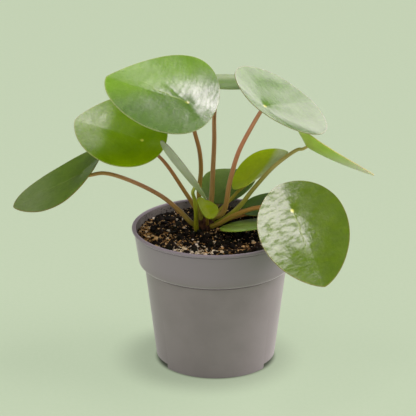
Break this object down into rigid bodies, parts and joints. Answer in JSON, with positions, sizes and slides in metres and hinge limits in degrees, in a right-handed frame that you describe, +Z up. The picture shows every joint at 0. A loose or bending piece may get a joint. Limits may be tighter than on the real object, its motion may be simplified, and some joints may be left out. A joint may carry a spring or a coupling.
{
  "type": "potted pilea plant",
  "caption": "House plant with round shield-shaped leaves on slender stalks, growing from soil in a thin tapered nursery pot with a collar and rolled lip.",
  "frame": {"origin": "centre of the flat underside of the pot", "axes": "+Z up out of the pot, +Y away from the viewer of the picture, +X to the viewer's right"},
  "size_m": [0.2579, 0.1533, 0.2239],
  "materials": {
    "pot": "fine matt moulded polypropylene",
    "soil": "loose damp potting soil with bark",
    "stem": "rough corky bark",
    "stalk": "smooth, slightly glossy skin",
    "blade": "glossy waxy leaf"
  },
  "bodies": {
    "root": {"pot": "pot", "soil": "soil", "main_stem": "stem", "petiole_01": "stalk", "petiole_02": "stalk", "petiole_03": "stalk", "petiole_04": "stalk", "petiole_05": "stalk", "petiole_06": "stalk", "petiole_07": "stalk", "petiole_08": "stalk", "petiole_09": "stalk", "petiole_10": "stalk", "petiole_11": "stalk", "petiole_12": "stalk", "petiole_13": "stalk", "leaf_blade_01": "blade", "leaf_blade_02": "blade", "leaf_blade_03": "blade", "leaf_blade_04": "blade", "leaf_blade_05": "blade", "leaf_blade_06": "blade", "leaf_blade_07": "blade", "leaf_blade_08": "blade", "leaf_blade_09": "blade", "leaf_blade_10": "blade", "leaf_blade_11": "blade", "leaf_blade_12": "blade", "leaf_blade_13": "blade"}
  },
  "joints": []
}
